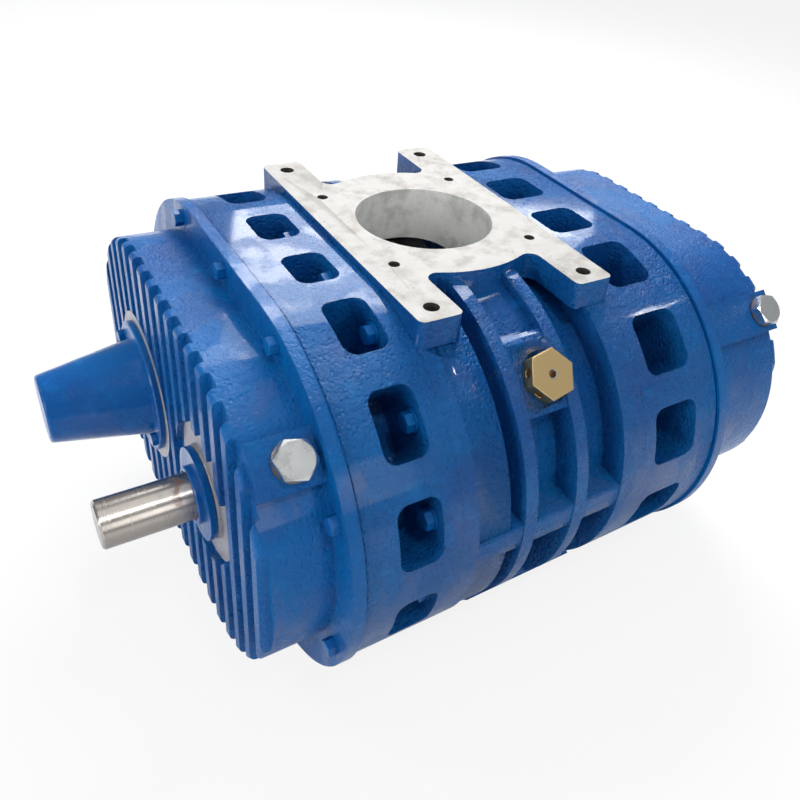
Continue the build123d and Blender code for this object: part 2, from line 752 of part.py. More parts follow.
with BuildPart() as oil_slinger:
    rounds(nut_x - slinger_hub, nut_x, slinger_hub_radius, (driven_y,))
    rounds(nut_x - slinger_hub, nut_x - slinger_hub + slinger_thick, slinger_radius, (driven_y,))
    rounds(nut_x - slinger_hub, nut_x, thread_radius, (driven_y,), Mode.SUBTRACT)
save(oil_slinger.part, "oil_slinger")

# ---------------------------------------------------------------- bearings and bushes
with BuildPart() as bearing_outer_rings:
    for x in bearing_starts:
        rounds(x, x + bearing_width, bearing_outer_radius)
        rounds(x, x + bearing_width, ball_circle + race_shoulder, mode=Mode.SUBTRACT)
        for y_axis in axes_y:
            with Locations(Plane(origin=(x + bearing_width / 2, y_axis, axis_height), z_dir=(1, 0, 0))):
                Torus(ball_circle, ball_radius + ball_gap, mode=Mode.SUBTRACT)
save(bearing_outer_rings.part, "bearing_outer_rings")


def ball_spots(y_axis, x):
    """The middle of each ball of one bearing."""
    spots = []
    for i in range(ball_count):
        turn = 2 * math.pi * i / ball_count
        spots.append((x + bearing_width / 2, y_axis + ball_circle * math.cos(turn),
                      axis_height + ball_circle * math.sin(turn)))
    return spots


all_balls = [spot for x in bearing_starts for y_axis in axes_y for spot in ball_spots(y_axis, x)]
with BuildPart() as bearing_balls:
    with Locations(*all_balls):
        Sphere(ball_radius)
save(bearing_balls.part, "bearing_balls")

with BuildPart() as bearing_cages:
    for x in bearing_starts:
        middle = x + bearing_width / 2
        rounds(middle - cage_half, middle + cage_half, ball_circle + cage_wall)
        rounds(middle - cage_half, middle + cage_half, ball_circle - cage_wall, mode=Mode.SUBTRACT)
    with Locations(*all_balls):
        Sphere(ball_radius + ball_gap, mode=Mode.SUBTRACT)
save(bearing_cages.part, "bearing_cages")

with BuildPart() as bearing_retainers:
    for x, thick in ((drive_plate_end, -retainer_thick), (gear_plate_end, retainer_thick)):
        rounds(x, x + thick, retainer_radius)
        rounds(x, x + thick, ball_circle + race_shoulder, mode=Mode.SUBTRACT)
        holes(x, thick, retainer_screw_radius + 0.3, retainer_spots())
save(bearing_retainers.part, "bearing_retainers")

with BuildPart() as labyrinth_bushes:
    for x_start in (-casing_half - bush_length - 1, casing_half + 1):
        rounds(x_start, x_start + bush_length, bush_outer_radius)
        rounds(x_start, x_start + bush_length, rotor_shaft_radius + bush_gap, mode=Mode.SUBTRACT)
        for i in range(bush_grooves):
            groove_x = x_start + bush_length * (i + 1) / (bush_grooves + 1)
            rounds(groove_x - 1, groove_x + 1, rotor_shaft_radius + 2.5, mode=Mode.SUBTRACT)
save(labyrinth_bushes.part, "labyrinth_bushes")


# ---------------------------------------------------------------- fasteners and fittings
def hex_bolts(x, along, spots, across_flats, head, radius, grip, seat=0.0):
    """Hexagon screws whose heads stand on the plane at X and point the way along says."""
    with BuildSketch(across(x + along * seat)) as heads:
        with Locations(*spots):
            RegularPolygon(across_flats / 2, 6, major_radius=False, rotation=30)
    extrude(heads.sketch, amount=along * head)
    with BuildSketch(across(x + along * seat)) as shanks:
        with Locations(*spots):
            Circle(radius)
    extrude(shanks.sketch, amount=-along * (grip + seat))


def washers(x, along, spots):
    with BuildSketch(across(x)) as rings:
        with Locations(*spots):
            Circle(washer_radius)
        with Locations(*spots):
            Circle(plate_bolt_hole, mode=Mode.SUBTRACT)
    extrude(rings.sketch, amount=along * washer_thick)


drive_wall = -casing_half - drive_window_x[1]
gear_wall = gear_window_x[0] - casing_half
with BuildPart() as drive_plate_bolts:
    hex_bolts(drive_window_x[1], -1, plate_bolt_spots(), plate_bolt_af, plate_bolt_head,
              plate_bolt_radius, drive_wall + plate_bolt_grip, washer_thick)
save(drive_plate_bolts.part, "drive_plate_bolts")

with BuildPart() as gear_plate_bolts:
    hex_bolts(gear_window_x[0], 1, plate_bolt_spots(), plate_bolt_af, plate_bolt_head,
              plate_bolt_radius, gear_wall + plate_bolt_grip, washer_thick)
save(gear_plate_bolts.part, "gear_plate_bolts")

with BuildPart() as drive_plate_washers:
    washers(drive_window_x[1], -1, plate_bolt_spots())
save(drive_plate_washers.part, "drive_plate_washers")

with BuildPart() as gear_plate_washers:
    washers(gear_window_x[0], 1, plate_bolt_spots())
save(gear_plate_washers.part, "gear_plate_washers")

cover_grip = cover_flange_thick + gasket_thick + cover_bolt_grip - 1
with BuildPart() as drive_cover_bolts:
    hex_bolts(drive_plate_end - gasket_thick - cover_flange_thick, -1, cover_bolt_spots(),
              cover_bolt_af, cover_bolt_head, cover_bolt_radius, cover_grip)
save(drive_cover_bolts.part, "drive_cover_bolts")

with BuildPart() as gear_cover_bolts:
    hex_bolts(gear_plate_end + gasket_thick + cover_flange_thick, 1, cover_bolt_spots(),
              cover_bolt_af, cover_bolt_head, cover_bolt_radius, cover_grip)
save(gear_cover_bolts.part, "gear_cover_bolts")

with BuildPart() as cone_cap_bolts:
    hex_bolts(cone_base_x - cone_flange_thick, -1, cone_bolt_spots(), cone_bolt_af,
              cone_bolt_head, cone_bolt_radius, cone_flange_thick + cone_bolt_grip - 1)
save(cone_cap_bolts.part, "cone_cap_bolts")

with BuildPart() as bearing_retainer_screws:
    for x, along in ((drive_plate_end - retainer_thick, -1), (gear_plate_end + retainer_thick, 1)):
        hex_bolts(x, along, retainer_spots(), retainer_screw_af, retainer_screw_head,
                  retainer_screw_radius, retainer_thick + retainer_grip - 1)
save(bearing_retainer_screws.part, "bearing_retainer_screws")

with BuildPart() as dowel_pins:
    for x in (-casing_half, casing_half):
        with BuildSketch(across(x - dowel_half)) as ends:
            with Locations(*dowel_spots()):
                Circle(plate_bolt_radius)
        extrude(ends.sketch, amount=2 * dowel_half)
save(dowel_pins.part, "dowel_pins")


def oil_plug(plane):
    """Hexagon head plug with a washer face, screwed into the plane given."""
    with BuildSketch(plane.offset(plug_seal_thick)) as head:
        RegularPolygon(plug_af / 2, 6, major_radius=False, rotation=15)
    extrude(head.sketch, amount=plug_head)
    with BuildSketch(plane.offset(plug_seal_thick)) as thread:
        Circle(plug_thread_radius)
    extrude(thread.sketch, amount=-plug_seal_thick - plug_thread_length)


def plug_seal(plane):
    with BuildSketch(plane) as ring:
        Circle(plug_seal_radius)
        Circle(plug_thread_radius, mode=Mode.SUBTRACT)
    extrude(ring.sketch, amount=plug_seal_thick)


plug_planes = {"drive_filler_plug": plug_places(plug_drive_x)[0],
               "drive_drain_plug": plug_places(plug_drive_x)[1],
               "gear_filler_plug": plug_places(plug_gear_x)[0],
               "gear_drain_plug": plug_places(plug_gear_x)[1]}
for name, plane in plug_planes.items():
    with BuildPart() as plug:
        oil_plug(plane)
    save(plug.part, name)

with BuildPart() as plug_seals:
    for plane in plug_planes.values():
        plug_seal(plane)
save(plug_seals.part, "plug_seals")

with BuildPart() as relief_fitting:
    seat = outward(brass_x, drive_y, brass_angle, brass_seat)
    with BuildSketch(seat):
        RegularPolygon(brass_af / 2, 6, major_radius=False, rotation=brass_turn)
    extrude(amount=brass_height)
    with BuildSketch(seat):
        Circle(plug_thread_radius)
    extrude(amount=-brass_thread)
    with BuildSketch(seat.offset(brass_height)):
        Circle(brass_bore)
    extrude(amount=-brass_height - brass_thread, mode=Mode.SUBTRACT)
    for i in range(6):
        turn = math.radians(brass_turn + 30 + 60 * i)
        out = seat.x_dir * math.cos(turn) + seat.y_dir * math.sin(turn)
        with BuildSketch(Plane(origin=seat.offset(brass_height / 2).origin, z_dir=out)):
            Circle(brass_side_bore)
        extrude(amount=brass_af, mode=Mode.SUBTRACT)
save(relief_fitting.part, "relief_fitting")
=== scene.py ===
# %% [markdown]
# A roots vacuum pump: a ribbed iron casing between two windowed side plates, a finned cover on
# each end, and two rotors inside that turn together. The CAD model gives every piece its exact
# shape and place, and this lesson gives the pieces their finish: thick blue enamel over rough
# castings, bare milled iron on the ports, ground steel on the shaft, bright plugs and brass.

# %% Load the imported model
import json
import math

import bmesh
import bpy
from mathutils import Matrix, Vector


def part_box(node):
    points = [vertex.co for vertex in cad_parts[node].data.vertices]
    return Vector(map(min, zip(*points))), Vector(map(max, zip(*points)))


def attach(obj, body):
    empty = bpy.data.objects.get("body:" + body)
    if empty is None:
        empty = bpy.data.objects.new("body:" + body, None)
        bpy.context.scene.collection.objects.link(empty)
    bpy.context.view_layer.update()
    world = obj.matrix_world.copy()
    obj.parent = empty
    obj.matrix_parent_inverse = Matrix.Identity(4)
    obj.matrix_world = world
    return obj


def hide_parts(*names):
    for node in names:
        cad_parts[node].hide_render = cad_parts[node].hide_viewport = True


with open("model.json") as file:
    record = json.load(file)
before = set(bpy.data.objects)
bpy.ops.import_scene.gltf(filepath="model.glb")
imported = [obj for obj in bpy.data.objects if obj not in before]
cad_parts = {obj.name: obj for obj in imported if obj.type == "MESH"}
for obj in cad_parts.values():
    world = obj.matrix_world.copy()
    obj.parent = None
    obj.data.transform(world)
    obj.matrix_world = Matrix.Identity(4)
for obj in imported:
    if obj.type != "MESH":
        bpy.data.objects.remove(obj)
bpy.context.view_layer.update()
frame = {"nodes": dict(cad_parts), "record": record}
nodes = frame["nodes"]
print("pieces in the model:", len(nodes))

# %% [markdown]
# Everything is placed from a few measured numbers: the heights of the two port faces, the two
# shaft axes and the seat of the cone. They are read from the pieces' own boxes, so the scene
# follows the model if a size changes. Skin is how far from a flat face a point may lie and still
# count as on it.

# %% Measure the pump
casing_low, casing_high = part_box("casing")
drive_low, drive_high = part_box("drive_shaft")
driven_low, driven_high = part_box("driven_shaft")
port_bottom, port_top = casing_low.z, casing_high.z
axis_z = (drive_low.z + drive_high.z) / 2
drive_axis_y = (drive_low.y + drive_high.y) / 2
driven_axis_y = (driven_low.y + driven_high.y) / 2
cone_pad_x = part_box("cone_cap")[1].x
skin = 0.0003
print("port face at", round(port_top, 4), "shafts at", round(drive_axis_y, 4), round(driven_axis_y, 4))

# %% [markdown]
# Materials are node trees. Written node by node they are long, so three small classes keep them
# readable. A Value is one output that can be added and multiplied like a number. Shading makes
# any node of one tree from its type, its settings and its inputs. A Finish is one material.


# %% Shader values that can be calculated with
class Value:
    """One output of a shader node. Sums, products and comparisons of values add Math nodes."""

    def __init__(self, shading, socket):
        self.shading, self.socket = shading, socket

    def beside(self, name):
        """Another output of the same node."""
        return Value(self.shading, self.socket.node.outputs[name])

    def math(self, operation, first, second):
        return self.shading.node("ShaderNodeMath", {"operation": operation}, {0: first, 1: second})

    def __add__(self, other):
        return self.math("ADD", self, other)

    def __sub__(self, other):
        return self.math("SUBTRACT", self, other)

    def __rsub__(self, other):
        return self.math("SUBTRACT", other, self)

    def __mul__(self, other):
        return self.math("MULTIPLY", self, other)

    def __gt__(self, other):
        return self.math("GREATER_THAN", self, other)

    def __lt__(self, other):
        return self.math("LESS_THAN", self, other)

    __radd__ = __add__
    __rmul__ = __mul__


# %% One method that makes any node
class Shading:
    """The nodes of one material, or of the sky."""

    def __init__(self, tree):
        self.tree = tree

    def node(self, kind, settings=None, sockets=None, output=0):
        """Makes a node. Its settings come first, because some of them change its sockets."""
        made = self.tree.nodes.new(kind)
        for key, value in (settings or {}).items():
            setattr(made, key, value)
        for key, value in (sockets or {}).items():
            self.join(made.inputs[key], value)
        return Value(self, made.outputs[output])

    def join(self, target, value):
        """Links a value to a socket, or writes a number or a colour on it."""
        if isinstance(value, Value):
            self.tree.links.new(value.socket, target)
        else:
            target.default_value = value


# %% A material with its patterns and its relief
class Finish(Shading):
    """One material. Colours are linear red, green and blue, and lengths are metres."""

    relief = 0.001

    def __init__(self, name, base, roughness, metallic=0.0):
        self.material = bpy.data.materials.new(name)
        self.material.use_nodes = True
        self.material.diffuse_color = (*base, 1)
        super().__init__(self.material.node_tree)
        self.shader = self.tree.nodes["Principled BSDF"]
        self.set("Base Color", (*base, 1))
        self.set("Roughness", roughness)
        self.set("Metallic", metallic)
        self.place = self.node("ShaderNodeTexCoord", output="Object")
        self.heights = []
        self.edge = None

    def set(self, name, value):
        self.join(self.shader.inputs[name], value)

    def colour(self):
        """The colour pattern that the material has so far."""
        return Value(self, self.shader.inputs["Base Color"].links[0].from_socket)

    def along(self, axis):
        """The place along one axis."""
        return self.node("ShaderNodeSeparateXYZ", None, {"Vector": self.place}, axis)

    def noise(self, scale, detail=3.0, stretch=(1, 1, 1), rough=0.5):
        """Noise whose blobs are about 1 / scale metres across, 0 to 1."""
        place = self.place
        if stretch != (1, 1, 1):
            place = self.node("ShaderNodeMapping", None, {"Vector": place, "Scale": stretch})
        return self.node("ShaderNodeTexNoise", None,
                         {"Vector": place, "Scale": scale, "Detail": detail, "Roughness": rough}, "Fac")

    def cells(self, scale):
        """Distance from the nearest of many scattered points, about 1 / scale metres apart."""
        return self.node("ShaderNodeTexVoronoi", None, {"Vector": self.place, "Scale": scale}, "Distance")

    def ramp(self, value, low, high):
        """0 at low and 1 at high, smoothly between. Low may be the greater of the two."""
        return self.node("ShaderNodeMapRange", {"interpolation_type": "SMOOTHSTEP"},
                         {"Value": value, "From Min": low, "From Max": high}, "Result")

    def blend(self, mask, first, second):
        """First colour where the mask is 0, second where it is 1."""
        first, second = [(*c, 1) if isinstance(c, tuple) else c for c in (first, second)]
        return self.node("ShaderNodeMix", {"data_type": "RGBA"}, {0: mask, 6: first, 7: second}, 2)

    def bump(self, height, depth):
        """Adds a height field, with the depth of its whole 0 to 1 range."""
        self.heights.append(height * (depth / self.relief))

    def round_edges(self, radius):
        """Sharp edges catch the light as if they were rounded to this radius."""
        self.edge = self.node("ShaderNodeBevel", {"samples": 6}, {"Radius": radius}, "Normal")

    def done(self):
        """Joins all the height fields into one bump, over the rounded edges if there are any."""
        total = self.heights[0]
        for height in self.heights[1:]:
            total = total + height
        sockets = {"Height": total, "Strength": 1.0, "Distance": self.relief}
        if self.edge:
            sockets["Normal"] = self.edge
        self.set("Normal", self.node("ShaderNodeBump", None, sockets, "Normal"))
        return self.material


# %% [markdown]
# The drive cover has two flat pads, under the cone's flange and round the shaft seal, that are
# milled after painting. They could be separate pieces, but they are one casting with the cover,
# so a mask in the paint finds them: it is 1 close to a shaft's axis and no deeper than the pad.


# %% The pads that are milled through the paint
def distance_to(finish, point, direction):
    """Distance from a straight line through a point, whose direction is one unit long."""
    apart = finish.node("ShaderNodeVectorMath", {"operation": "SUBTRACT"}, {0: finish.place, 1: point})
    crossed = finish.node("ShaderNodeVectorMath", {"operation": "CROSS_PRODUCT"}, {0: apart, 1: direction})
    return finish.node("ShaderNodeVectorMath", {"operation": "LENGTH"}, {0: crossed}, "Value")


cone_pad_radius, seal_pad_radius = 0.087, 0.074
seal_pad_behind_cone = 0.0075


def milled_pads(paint):
    """1 on the two flat pads of the drive cover, just inside their edges."""
    inset = 0.0002
    along, shaft_way = paint.along("X"), (1, 0, 0)
    cone = distance_to(paint, (0, driven_axis_y, axis_z), shaft_way) < cone_pad_radius - inset
    seal = distance_to(paint, (0, drive_axis_y, axis_z), shaft_way) < seal_pad_radius - inset
    on_cone_pad = (along < cone_pad_x + skin) * cone
    on_seal_pad = (along < cone_pad_x + seal_pad_behind_cone + skin) * seal
    return on_cone_pad.math("MAXIMUM", on_cone_pad, on_seal_pad)


print("milled pads:", cone_pad_radius, "and", seal_pad_radius, "m in radius")

# %% [markdown]
# The pump is sprayed with thick gloss enamel straight over sand-cast iron. Three sizes of relief
# show through: slow waves of the casting, the grit of the sand, and the fine orange peel of the
# paint. Where the paint has run it is darker, glossier and thicker in lacquer.


# %% Blue enamel over cast iron
def enamel(name, grit, peel, coat, edge=0.0022, bare=None):
    """Blue paint, with the depth of the sand grit and of the orange peel in metres."""
    deep_blue, light_blue = (0.0006, 0.080, 0.300), (0.0008, 0.118, 0.375)
    thin_blue, run_blue = (0.003, 0.170, 0.48), (0.0006, 0.050, 0.250)
    paint = Finish(name, (0.002, 0.10, 0.36), 0.3)
    paint.set("Specular IOR Level", 0.16)
    paint.set("Coat Roughness", 0.07)
    cloud = paint.ramp(paint.noise(7.0, 4), 0.3, 0.7)
    thin = paint.ramp(paint.noise(60.0, 5, rough=0.6), 0.54, 0.74)
    run = paint.ramp(paint.noise(26.0, 3, stretch=(1, 1, 0.35)), 0.45, 0.62)
    colour = paint.blend(cloud, deep_blue, light_blue)
    colour = paint.blend(thin * 0.5, colour, thin_blue)
    colour = paint.blend(run * 0.3, colour, run_blue)
    gloss = paint.noise(34.0, 4) * 0.24 + run * -0.08 + 0.17
    lacquer = run * 0.3 + coat
    if bare:
        mask = bare(paint)
        metal = paint.blend(paint.noise(60.0, 4), (0.50, 0.48, 0.50), (0.36, 0.36, 0.40))
        colour = paint.blend(mask, colour, metal)
        gloss = gloss + mask * 0.15
        lacquer = lacquer * (1 - mask)
        paint.set("Metallic", mask * 0.5)
    paint.set("Base Color", colour)
    paint.set("Roughness", gloss)
    paint.set("Coat Weight", lacquer)
    paint.bump(paint.noise(16.0, 2), grit * 1.8)
    paint.bump(paint.noise(125.0, 5, rough=0.6), grit)
    paint.bump(paint.noise(290.0, 4, rough=0.7), grit * 0.9)
    paint.bump(paint.ramp(paint.cells(210.0), 0.05, 0.5), grit * 0.45)
    paint.bump(paint.noise(560.0, 2), peel)
    paint.round_edges(edge)
    return paint.done()


cast_enamel = enamel("blue_enamel_on_casting", 0.0029, 0.0007, 0.22)
cover_enamel = enamel("blue_enamel_on_drive_cover", 0.0011, 0.0005, 0.1, bare=milled_pads)
sand_enamel = enamel("blue_enamel_on_gear_cover", 0.0011, 0.0005, 0.1)
smooth_enamel = enamel("blue_enamel_on_machined", 0.0004, 0.00012, 0.2, 0.0012)
bolt_enamel = enamel("blue_enamel_on_bolts", 0.0003, 0.0001, 0.25, 0.0006)
print("nodes in the casting's enamel:", len(cast_enamel.node_tree.nodes))

# %% [markdown]
# The port faces are milled and left bare. Oil and handling leave them a warm grey with darker
# specks, and the ear at one front corner has begun to rust. The bores are paler and the machined
# pieces inside the pump a plain grey, so one function makes all three from their colours.


# %% Bare milled iron
def milled(name, base, dirt, speck_scale):
    """Iron with fine milling lines, clouds of dirt and dark specks."""
    metal = Finish(name, base, 0.42, 0.25)
    tint = metal.blend(metal.ramp(metal.noise(38.0, 6, rough=0.65), 0.42, 0.68), base, dirt)
    specks = metal.ramp(metal.cells(speck_scale), 0.16, 0.09) * metal.ramp(metal.noise(22.0, 3), 0.5, 0.62)
    metal.set("Base Color", metal.blend(specks * 0.85, tint, (0.10, 0.09, 0.07)))
    metal.set("Roughness", metal.noise(70.0, 4) * 0.3 + 0.3)
    metal.bump(metal.noise(1400.0, 2, stretch=(1, 0.03, 1)), 0.00004)
    metal.bump(metal.noise(240.0, 5), 0.00018)
    return metal


def port_metal():
    """The ports' faces, with rust on the ear at one front corner."""
    metal = milled("bare_port_face", (0.40, 0.385, 0.36), (0.27, 0.245, 0.21), 130.0)
    metal.set("Metallic", 0.0)
    metal.set("Specular IOR Level", 0.2)
    corner = metal.ramp(metal.along("X"), 0.07, 0.115) * metal.ramp(metal.along("Y"), -0.20, -0.255)
    patch = corner * metal.ramp(metal.noise(75.0, 6, rough=0.7), 0.44, 0.62)
    metal.set("Base Color", metal.blend(patch * 0.8, metal.colour(), (0.42, 0.24, 0.06)))
    return metal.done()


bare_port = port_metal()
bore_metal = milled("cast_bore_wall", (0.72, 0.72, 0.70), (0.50, 0.50, 0.48), 420.0).done()
machined_iron = milled("machined_iron", (0.42, 0.42, 0.41), (0.30, 0.30, 0.29), 160.0).done()
print("bare irons:", bare_port.name, bore_metal.name, machined_iron.name)

# %% [markdown]
# A lathe leaves fine rings round the shafts. A noise squeezed along X and left long across it
# gives them, and it feeds the roughness too, so that highlights break up as on real turning. The
# drive shaft has rust creeping out from the seal's collar.


# %% Turned metals
def turned(name, base, roughness, marks, detail=None):
    """Metal turned in a lathe, with the depth of its rings in metres."""
    metal = Finish(name, base, roughness, 1.0)
    rings = metal.noise(1.0, 2, stretch=(900, 14, 14))
    stain = metal.noise(60.0, 5, rough=0.6)
    metal.set("Base Color", metal.blend(stain * 0.35, base, tuple(c * 0.72 for c in base)))
    metal.set("Roughness", rings * 0.14 + stain * 0.12 + (roughness - 0.12))
    metal.bump(rings, marks)
    if detail:
        detail(metal)
    return metal.done()


def shaft_rust(metal):
    """Rust on the bare shaft, thickest at the oil seal's collar."""
    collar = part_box("seal_housing")[0].x
    reach, full = 0.035, 0.002
    near = metal.ramp(metal.along("X"), collar - reach, collar - full)
    patch = near * metal.ramp(metal.noise(48.0, 5), 0.50, 0.60)
    metal.set("Base Color", metal.blend(patch * 0.8, metal.colour(), (0.16, 0.055, 0.02)))
    metal.set("Metallic", 1 - patch * 0.75)


shaft_steel = turned("ground_shaft_steel", (0.47, 0.43, 0.39), 0.24, 0.000004, shaft_rust)
plain_steel = turned("turned_steel", (0.55, 0.55, 0.55), 0.32, 0.00003)
bearing_steel = turned("polished_bearing_steel", (0.70, 0.71, 0.72), 0.2, 0.00001)
brass = turned("turned_brass", (0.72, 0.50, 0.21), 0.3, 0.00004)
copper = turned("dull_copper", (0.20, 0.17, 0.16), 0.45, 0.00003)
print("turned metals:", shaft_steel.name, plain_steel.name, bearing_steel.name, brass.name, copper.name)

# %% [markdown]
# The brass fitting points straight out from the drive shaft's axis. Its middle hole has a steel
# sleeve pressed into it. The sleeve is far too small to need its own piece, so the distance from
# the fitting's own axis colours it, and paints the hole near black inside the sleeve as shade.

# %% The brass fitting and its sleeve
fitting_low, fitting_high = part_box("relief_fitting")
fitting_middle = (fitting_low + fitting_high) / 2
fitting_way = Vector((0, fitting_middle.y - drive_axis_y, fitting_middle.z - axis_z)).normalized()
sleeve_radius, shaded_bore_radius = 0.0050, 0.0033


def fitting_insert(metal):
    """A steel sleeve round the middle hole, with painted shade near black inside it."""
    away = distance_to(metal, fitting_middle, fitting_way)
    with_sleeve = metal.blend(away < sleeve_radius, metal.colour(), (0.36, 0.37, 0.40))
    # Painted shade: near black inside the sleeve's bore, where the deep hole is dark.
    metal.set("Base Color", metal.blend(away < shaded_bore_radius, with_sleeve, (0.015, 0.014, 0.016)))
    metal.round_edges(0.0012)


relief_brass = turned("relief_fitting_brass", (0.78, 0.56, 0.27), 0.34, 0.00004, fitting_insert)
print("fitting points along", [round(v, 3) for v in fitting_way])

# %% [markdown]
# The oil plugs are zinc plated, and the plating has clouds that are darker and rougher. Rubber
# and the near-black inside of a threaded hole, a painted shade for the deep hole, hardly vary, so
# one plain function is enough for both.


# %% Zinc plate, rubber and the painted shade of a threaded hole
def zinc_plate():
    metal = Finish("bright_zinc_plate", (0.72, 0.72, 0.70), 0.28, 1.0)
    bloom = metal.noise(90.0, 5, rough=0.6)
    metal.set("Base Color", metal.blend(bloom * 0.5, (0.76, 0.76, 0.74), (0.55, 0.56, 0.57)))
    metal.set("Roughness", bloom * 0.22 + 0.17)
    metal.bump(metal.noise(420.0, 3), 0.00004)
    return metal.done()


def plain(name, base, roughness, grain, depth):
    """One colour with grains of the given scale, a little darker and a little lighter."""
    stuff = Finish(name, base, roughness)
    grains = stuff.noise(grain, 4)
    stuff.set("Base Color", stuff.blend(grains, tuple(c * 0.7 for c in base), tuple(c * 1.3 for c in base)))
    stuff.set("Roughness", grains * 0.2 + (roughness - 0.1))
    stuff.bump(grains, depth)
    return stuff.done()


zinc = zinc_plate()
rubber = plain("seal_rubber", (0.025, 0.025, 0.026), 0.55, 300.0, 0.00005)
# The threaded holes are painted near black as shade, for the dark inside a deep hole.
hole_painted_shade = plain("threaded_hole_shade", (0.06, 0.055, 0.05), 0.5, 900.0, 0.0003)
print("others:", zinc.name, rubber.name, hole_painted_shade.name)

# %% [markdown]
# Most pieces already have the right shape, so they keep their mesh and only take a finish. A
# table from each finish to its pieces is shorter to read than a finish written at every piece.

# %% Finish for every piece that keeps its mesh
finishes = {
    cast_enamel: ["drive_side_plate", "gear_side_plate"],
    cover_enamel: ["drive_cover"],
    sand_enamel: ["gear_cover"],
    smooth_enamel: ["seal_housing", "cone_cap", "drive_cover_gasket", "gear_cover_gasket"],
    bolt_enamel: ["drive_plate_washers", "gear_plate_washers"],
    machined_iron: ["drive_rotor", "driven_rotor", "labyrinth_bushes"],
    shaft_steel: ["drive_shaft"],
    plain_steel: ["driven_shaft", "drive_gear_key", "driven_gear_key", "drive_timing_gear",
                  "driven_timing_gear", "drive_gear_spacer", "driven_gear_spacer", "oil_slinger",
                  "bearing_retainers", "dowel_pins", "drive_shaft_nuts", "driven_shaft_nuts"],
    bearing_steel: ["drive_bearing_inner_rings", "driven_bearing_inner_rings", "bearing_outer_rings",
                    "bearing_balls"],
    brass: ["bearing_cages"],
    relief_brass: ["relief_fitting"],
    zinc: ["bearing_retainer_screws"],
    copper: ["plug_seals"],
    rubber: ["shaft_seal"],
}
for material, names in finishes.items():
    for name in names:
        for slot in nodes[name].material_slots:
            slot.material = material
        if not nodes[name].material_slots:
            nodes[name].data.materials.append(material)
print("pieces that keep their mesh:", sum(len(names) for names in finishes.values()))

# %% [markdown]
# The casing is different: one casting is painted outside, milled on its two port faces and bare
# in its bores. A copy of it gets a finish for each group of faces. A CAD mesh is loose triangles,
# so the copy's doubled corners are merged first, which also lets its curves shade smoothly.

# %% A copy of a CAD mesh with its triangles merged
weld = 0.00002


def merged_copy(node, name):
    """A new object with the node's mesh, its doubled corners merged and flat faces joined."""
    mesh = nodes[node].data.copy()
    mesh.materials.clear()
    work = bmesh.new()
    work.from_mesh(mesh)
    bmesh.ops.remove_doubles(work, verts=work.verts, dist=weld)
    bmesh.ops.dissolve_limit(work, angle_limit=math.radians(0.5), verts=work.verts, edges=work.edges)
    work.to_mesh(mesh)
    work.free()
    mesh.shade_smooth()
    mesh.set_sharp_from_angle(angle=math.radians(30))
    piece = bpy.data.objects.new(name, mesh)
    bpy.context.scene.collection.objects.link(piece)
    return piece


casing = merged_copy("casing", "casing_painted")
print("casing faces:", len(casing.data.polygons))

# %% [markdown]
# Each face of the copy is sorted by where it lies. The hole patterns come from the model's own
# mounts: a face that stands upright within a hole's radius belongs to that hole. The chamber's
# walls are long faces whose centres say little, so all the corners of a face are tested there.

# %% Where the casing's holes and bores are
holes = []
for mount in frame["record"]["mounts"]:
    if mount["kind"] == "bolt_pattern":
        half_x, half_y = mount["dims"]["spacing_x_mm"] / 2000, mount["dims"]["spacing_y_mm"] / 2000
        holes += [(x * half_x, y * half_y, mount["dims"]["hole_r_mm"] / 1000)
                  for x in (-1, 1) for y in (-1, 1)]
bore_radius = min(math.hypot(v.co.x, v.co.y) for v in nodes["casing"].data.vertices
                  if v.co.z > port_top - skin / 3)
rotor_clearance = 0.002
chamber_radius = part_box("drive_rotor")[1].z - axis_z + rotor_clearance
print("holes:", len(holes))
print("bore radius:", round(bore_radius, 4), "chamber radius:", round(chamber_radius, 4))

# %% The casing, painted, milled and bored
paint, port, bore, hole, chamber = range(5)
hole_margin, bore_margin, below_port = 0.001, 0.0015, 0.001
# The drilled holes in the casing take the near-black painted shade.
for material in (cast_enamel, bare_port, bore_metal, hole_painted_shade, machined_iron):
    casing.data.materials.append(material)


def from_nearer_shaft(corner):
    """Distance of a corner from the nearer shaft's axis."""
    return min(math.hypot(corner.y - y, corner.z - axis_z) for y in (drive_axis_y, driven_axis_y))


def face_group(face):
    x, y, z = face.center
    upright = abs(face.normal.z) < 0.5
    if abs(face.normal.z) > 0.9 and (z > port_top - skin or z < port_bottom + skin):
        return port
    if upright and any(math.hypot(x - a, y - b) < r + hole_margin for a, b, r in holes):
        return hole
    if math.hypot(x, y) < bore_radius + bore_margin and (upright or z < port_top - below_port):
        return bore
    corners = [casing.data.vertices[i].co for i in face.vertices]
    return chamber if all(from_nearer_shaft(c) < chamber_radius for c in corners) else paint


groups = [face_group(face) for face in casing.data.polygons]
for face, group in zip(casing.data.polygons, groups):
    face.material_index = group
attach(casing, "pump_body")
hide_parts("casing")
print("painted, milled, bored, drilled and chamber faces:",
      [groups.count(group) for group in (paint, port, bore, hole, chamber)])

# %% [markdown]
# A hexagon screw head isn't a plain prism: a round chamfer takes off its corners, which gives the
# curved edges that show it is a bolt. One head is made in mesh code, as a row of rings along X.


